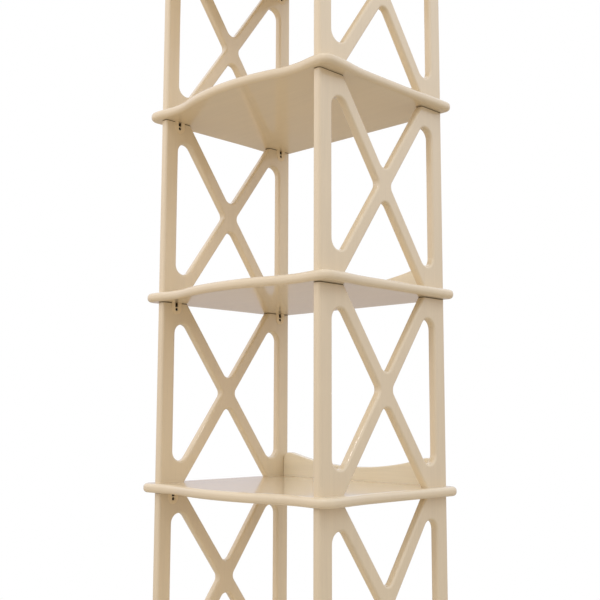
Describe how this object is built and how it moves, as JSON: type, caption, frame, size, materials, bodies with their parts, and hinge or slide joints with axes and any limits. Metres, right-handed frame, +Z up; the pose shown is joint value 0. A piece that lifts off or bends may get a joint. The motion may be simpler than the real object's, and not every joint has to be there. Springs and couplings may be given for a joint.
{
  "type": "etagere bookshelf",
  "caption": "Tall narrow open bookshelf of bow-fronted shelves stacked on pierced X side panels with cam fittings and low back rails.",
  "frame": {"origin": "on the floor, under the middle of the shelves' plan", "axes": "+X to the right seen from the front, +Y from the bowed front to the straight back, +Z up"},
  "size_m": [0.45, 0.3592, 1.7115],
  "materials": {
    "lacquered_wood": "cream satin lacquer",
    "rail_wood": "cream satin lacquer, grain showing",
    "fitting_plastic": "moulded cream",
    "cam_zinc": "dark die-cast zinc",
    "bolt_steel": "zinc-plated steel",
    "dowel_beech": "bare beech",
    "glide_nylon": "moulded nylon"
  },
  "bodies": {
    "carcass": {"shelf_1": "lacquered_wood", "shelf_2": "lacquered_wood", "shelf_3": "lacquered_wood", "shelf_4": "lacquered_wood", "shelf_5": "lacquered_wood", "shelf_6": "lacquered_wood", "side_panel_left_1": "lacquered_wood", "side_panel_right_1": "lacquered_wood", "back_rail_1": "rail_wood", "connector_housings_1": "fitting_plastic", "side_panel_left_2": "lacquered_wood", "side_panel_right_2": "lacquered_wood", "back_rail_2": "rail_wood", "connector_housings_2": "fitting_plastic", "side_panel_left_3": "lacquered_wood", "side_panel_right_3": "lacquered_wood", "back_rail_3": "rail_wood", "connector_housings_3": "fitting_plastic", "side_panel_left_4": "lacquered_wood", "side_panel_right_4": "lacquered_wood", "back_rail_4": "rail_wood", "connector_housings_4": "fitting_plastic", "side_panel_left_5": "lacquered_wood", "side_panel_right_5": "lacquered_wood", "back_rail_5": "rail_wood", "connector_housings_5": "fitting_plastic", "connecting_bolts_2": "bolt_steel", "connecting_bolts_3": "bolt_steel", "connecting_bolts_4": "bolt_steel", "connecting_bolts_5": "bolt_steel", "connecting_bolts_6": "bolt_steel", "rail_dowels": "dowel_beech", "base_screws": "bolt_steel", "floor_glides": "glide_nylon", "glide_nails": "bolt_steel"},
    "cam_left_front_1": {"cam_left_front_1": "cam_zinc"},
    "cam_left_back_1": {"cam_left_back_1": "cam_zinc"},
    "cam_right_front_1": {"cam_right_front_1": "cam_zinc"},
    "cam_right_back_1": {"cam_right_back_1": "cam_zinc"},
    "cam_left_front_2": {"cam_left_front_2": "cam_zinc"},
    "cam_left_back_2": {"cam_left_back_2": "cam_zinc"},
    "cam_right_front_2": {"cam_right_front_2": "cam_zinc"},
    "cam_right_back_2": {"cam_right_back_2": "cam_zinc"},
    "cam_left_front_3": {"cam_left_front_3": "cam_zinc"},
    "cam_left_back_3": {"cam_left_back_3": "cam_zinc"},
    "cam_right_front_3": {"cam_right_front_3": "cam_zinc"},
    "cam_right_back_3": {"cam_right_back_3": "cam_zinc"},
    "cam_left_front_4": {"cam_left_front_4": "cam_zinc"},
    "cam_left_back_4": {"cam_left_back_4": "cam_zinc"},
    "cam_right_front_4": {"cam_right_front_4": "cam_zinc"},
    "cam_right_back_4": {"cam_right_back_4": "cam_zinc"},
    "cam_left_front_5": {"cam_left_front_5": "cam_zinc"},
    "cam_left_back_5": {"cam_left_back_5": "cam_zinc"},
    "cam_right_front_5": {"cam_right_front_5": "cam_zinc"},
    "cam_right_back_5": {"cam_right_back_5": "cam_zinc"}
  },
  "joints": [
    {"name": "cam_left_front_1_turn", "type": "hinge", "parent": "carcass", "child": "cam_left_front_1", "pos_m": [-0.1845, -0.1171, 0.3337], "axis": [1, 0, 0], "range_deg": [0, 180]},
    {"name": "cam_left_back_1_turn", "type": "hinge", "parent": "carcass", "child": "cam_left_back_1", "pos_m": [-0.1845, 0.1464, 0.3337], "axis": [1, 0, 0], "range_deg": [0, 180]},
    {"name": "cam_right_front_1_turn", "type": "hinge", "parent": "carcass", "child": "cam_right_front_1", "pos_m": [0.1845, -0.1171, 0.3337], "axis": [-1, 0, 0], "range_deg": [0, 180]},
    {"name": "cam_right_back_1_turn", "type": "hinge", "parent": "carcass", "child": "cam_right_back_1", "pos_m": [0.1845, 0.1464, 0.3337], "axis": [-1, 0, 0], "range_deg": [0, 180]},
    {"name": "cam_left_front_2_turn", "type": "hinge", "parent": "carcass", "child": "cam_left_front_2", "pos_m": [-0.1845, -0.1171, 0.6712], "axis": [1, 0, 0], "range_deg": [0, 180]},
    {"name": "cam_left_back_2_turn", "type": "hinge", "parent": "carcass", "child": "cam_left_back_2", "pos_m": [-0.1845, 0.1464, 0.6712], "axis": [1, 0, 0], "range_deg": [0, 180]},
    {"name": "cam_right_front_2_turn", "type": "hinge", "parent": "carcass", "child": "cam_right_front_2", "pos_m": [0.1845, -0.1171, 0.6712], "axis": [-1, 0, 0], "range_deg": [0, 180]},
    {"name": "cam_right_back_2_turn", "type": "hinge", "parent": "carcass", "child": "cam_right_back_2", "pos_m": [0.1845, 0.1464, 0.6712], "axis": [-1, 0, 0], "range_deg": [0, 180]},
    {"name": "cam_left_front_3_turn", "type": "hinge", "parent": "carcass", "child": "cam_left_front_3", "pos_m": [-0.1845, -0.1171, 1.0087], "axis": [1, 0, 0], "range_deg": [0, 180]},
    {"name": "cam_left_back_3_turn", "type": "hinge", "parent": "carcass", "child": "cam_left_back_3", "pos_m": [-0.1845, 0.1464, 1.0087], "axis": [1, 0, 0], "range_deg": [0, 180]},
    {"name": "cam_right_front_3_turn", "type": "hinge", "parent": "carcass", "child": "cam_right_front_3", "pos_m": [0.1845, -0.1171, 1.0087], "axis": [-1, 0, 0], "range_deg": [0, 180]},
    {"name": "cam_right_back_3_turn", "type": "hinge", "parent": "carcass", "child": "cam_right_back_3", "pos_m": [0.1845, 0.1464, 1.0087], "axis": [-1, 0, 0], "range_deg": [0, 180]},
    {"name": "cam_left_front_4_turn", "type": "hinge", "parent": "carcass", "child": "cam_left_front_4", "pos_m": [-0.1845, -0.1171, 1.3462], "axis": [1, 0, 0], "range_deg": [0, 180]},
    {"name": "cam_left_back_4_turn", "type": "hinge", "parent": "carcass", "child": "cam_left_back_4", "pos_m": [-0.1845, 0.1464, 1.3462], "axis": [1, 0, 0], "range_deg": [0, 180]},
    {"name": "cam_right_front_4_turn", "type": "hinge", "parent": "carcass", "child": "cam_right_front_4", "pos_m": [0.1845, -0.1171, 1.3462], "axis": [-1, 0, 0], "range_deg": [0, 180]},
    {"name": "cam_right_back_4_turn", "type": "hinge", "parent": "carcass", "child": "cam_right_back_4", "pos_m": [0.1845, 0.1464, 1.3462], "axis": [-1, 0, 0], "range_deg": [0, 180]},
    {"name": "cam_left_front_5_turn", "type": "hinge", "parent": "carcass", "child": "cam_left_front_5", "pos_m": [-0.1845, -0.1171, 1.6837], "axis": [1, 0, 0], "range_deg": [0, 180]},
    {"name": "cam_left_back_5_turn", "type": "hinge", "parent": "carcass", "child": "cam_left_back_5", "pos_m": [-0.1845, 0.1464, 1.6837], "axis": [1, 0, 0], "range_deg": [0, 180]},
    {"name": "cam_right_front_5_turn", "type": "hinge", "parent": "carcass", "child": "cam_right_front_5", "pos_m": [0.1845, -0.1171, 1.6837], "axis": [-1, 0, 0], "range_deg": [0, 180]},
    {"name": "cam_right_back_5_turn", "type": "hinge", "parent": "carcass", "child": "cam_right_back_5", "pos_m": [0.1845, 0.1464, 1.6837], "axis": [-1, 0, 0], "range_deg": [0, 180]}
  ]
}
